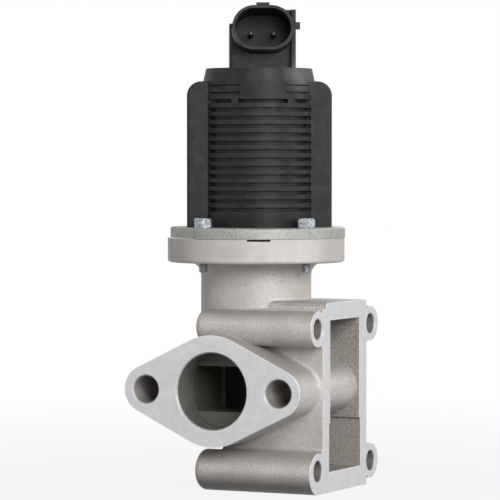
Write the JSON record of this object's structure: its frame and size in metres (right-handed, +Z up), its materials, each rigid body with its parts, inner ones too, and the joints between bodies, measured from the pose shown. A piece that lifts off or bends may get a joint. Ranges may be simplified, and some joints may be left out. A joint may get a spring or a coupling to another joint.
{
  "type": "exhaust gas recirculation valve",
  "caption": "Lift magnet exhaust gas recirculation valve: cast aluminium body with a two-bolt inlet flange and a rectangular manifold face, finned plastic actuator with a socket on top.",
  "frame": {"origin": "centre of the bolt pattern in the milled manifold face", "axes": "+X is the manifold face's outward normal, -Y the inlet flange's outward normal, +Z runs up along the valve stem"},
  "size_m": [0.0647, 0.0622, 0.1601],
  "materials": {
    "cast_aluminium": "sand-grained casting with milled faces",
    "zinc_plate": "zinc-plated steel, satin",
    "zinc_bolt": "bright zinc-plated steel",
    "black_plastic": "glass-filled moulded plastic, satin",
    "gasket_black": "coated sheet gasket",
    "seal_rubber": "moulded rubber",
    "stainless": "turned stainless steel",
    "spring_steel": "drawn spring steel",
    "magnet_iron": "soft iron, turned",
    "bronze": "sintered bronze",
    "brass_tube": "drawn brass",
    "copper_wire": "enamelled copper wire",
    "bobbin_plastic": "natural moulded plastic",
    "tinned_pin": "tinned contact brass"
  },
  "bodies": {
    "housing": {"valve_body": "cast_aluminium", "valve_seat": "stainless", "stem_scraper": "stainless", "guide_bush": "bronze", "stem_seal": "seal_rubber", "guide_housing": "magnet_iron", "heat_shield": "stainless", "flange_gasket": "gasket_black", "cover_seal": "seal_rubber", "mounting_plate": "zinc_plate", "housing_bolts": "zinc_bolt", "return_spring": "spring_steel", "lower_pole": "magnet_iron", "armature_sleeve": "brass_tube", "stop_pad": "seal_rubber", "upper_pole": "magnet_iron", "coil_bobbin": "bobbin_plastic", "coil_winding": "copper_wire", "magnet_yoke": "zinc_plate", "terminal_pins": "tinned_pin", "actuator_cover": "black_plastic"},
    "valve": {"valve_disc": "stainless", "stem_nut": "stainless", "valve_stem": "stainless", "spring_clip": "spring_steel", "spring_seat": "spring_steel", "armature": "magnet_iron"}
  },
  "joints": [
    {"name": "valve_lift", "type": "slide", "parent": "housing", "child": "valve", "axis": [0, 0, 1], "range_m": [0, 0.005], "stiffness_N_per_m": 2000, "springref_m": -0.0075, "deforming": ["return_spring"]}
  ]
}
